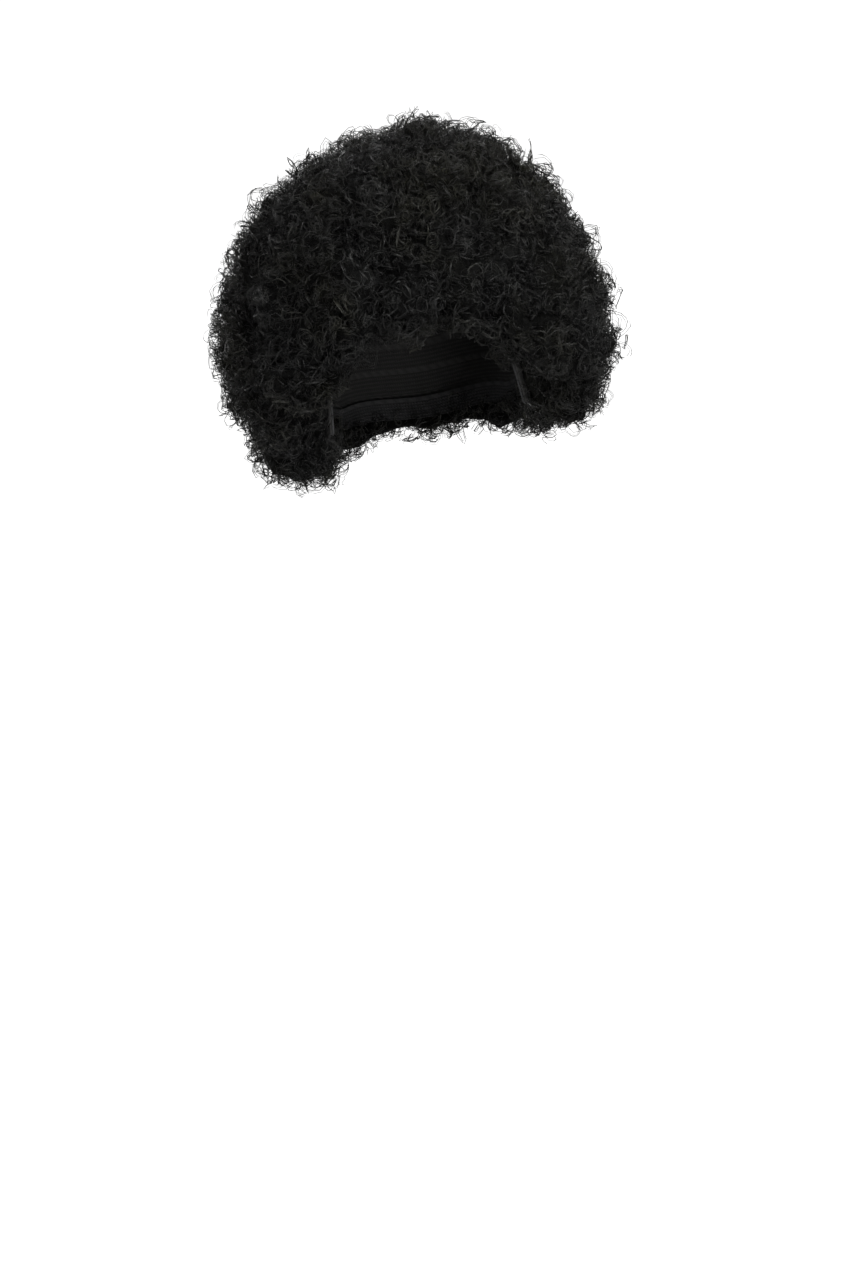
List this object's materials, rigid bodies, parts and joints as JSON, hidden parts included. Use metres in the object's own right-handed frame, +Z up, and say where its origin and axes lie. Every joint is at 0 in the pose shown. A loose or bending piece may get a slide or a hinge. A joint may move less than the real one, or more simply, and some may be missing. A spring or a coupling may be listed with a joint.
{
  "type": "afro wig",
  "caption": "Rounded wig of tight curls on a stretch cap, open at the face and underneath, that pulls on over a head.",
  "frame": {"origin": "where the crown of the head meets the inside of the cap", "axes": "+Z up along the head, the face opening towards -Y, +X to the wearer's left"},
  "size_m": [0.2657, 0.2704, 0.2355],
  "materials": {
    "hair_fibre": "near-black crimped synthetic fibre with a soft satin glint",
    "cap_knit": "black matte stretch knit",
    "elastic": "black ribbed elastic tape"
  },
  "bodies": {
    "root": {"wig_cap": "cap_knit", "rim_band": "elastic", "crown_hair": "hair_fibre", "front_hair": "hair_fibre", "left_side_hair": "hair_fibre", "right_side_hair": "hair_fibre", "back_hair": "hair_fibre", "nape_hair": "hair_fibre"}
  },
  "joints": []
}
